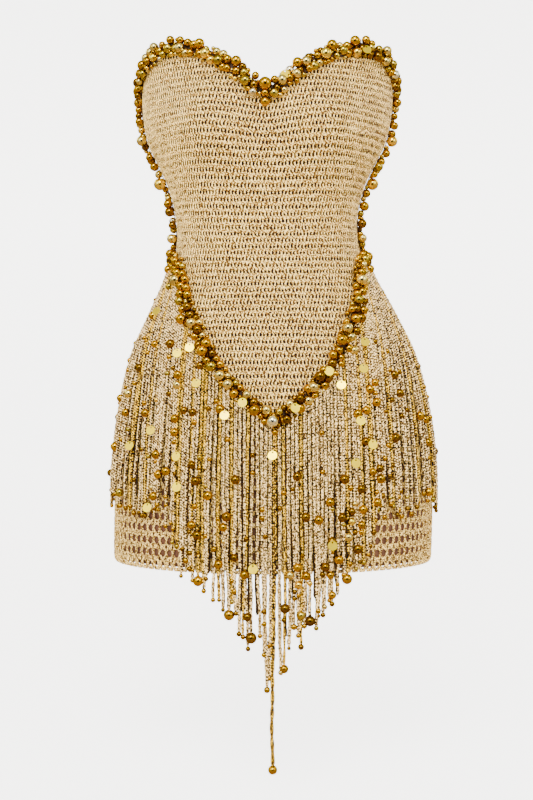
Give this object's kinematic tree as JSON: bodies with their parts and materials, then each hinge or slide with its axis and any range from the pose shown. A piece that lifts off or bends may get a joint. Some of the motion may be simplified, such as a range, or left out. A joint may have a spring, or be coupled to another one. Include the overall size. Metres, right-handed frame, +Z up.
{
  "type": "mini dress",
  "caption": "Strapless crochet mini dress in champagne gold with a heart-shaped bodice, bead edging, a long beaded fringe and an openwork skirt over a nude lining.",
  "frame": {"origin": "middle of the waist, where the wearer's body holds the dress", "axes": "+Z up along the body, front of the dress towards -Y, wearer's left side towards +X"},
  "size_m": [0.3896, 0.2654, 0.8172],
  "materials": {
    "crochet": "champagne metallic yarn in crochet stitches",
    "lining": "matt nude-brown knit",
    "beads": "pearly antique gold beads",
    "fringe": "twisted champagne and gold metallic cord"
  },
  "bodies": {
    "root": {"bodice_front": "crochet", "bodice_back": "crochet", "skirt_front": "crochet", "skirt_back": "crochet", "skirt_lining": "lining", "neckline_beads": "beads", "seam_beads_front": "beads", "seam_beads_back": "beads", "side_beads_left": "beads", "side_beads_right": "beads", "fringe_front": "fringe", "fringe_back": "fringe"}
  },
  "joints": []
}
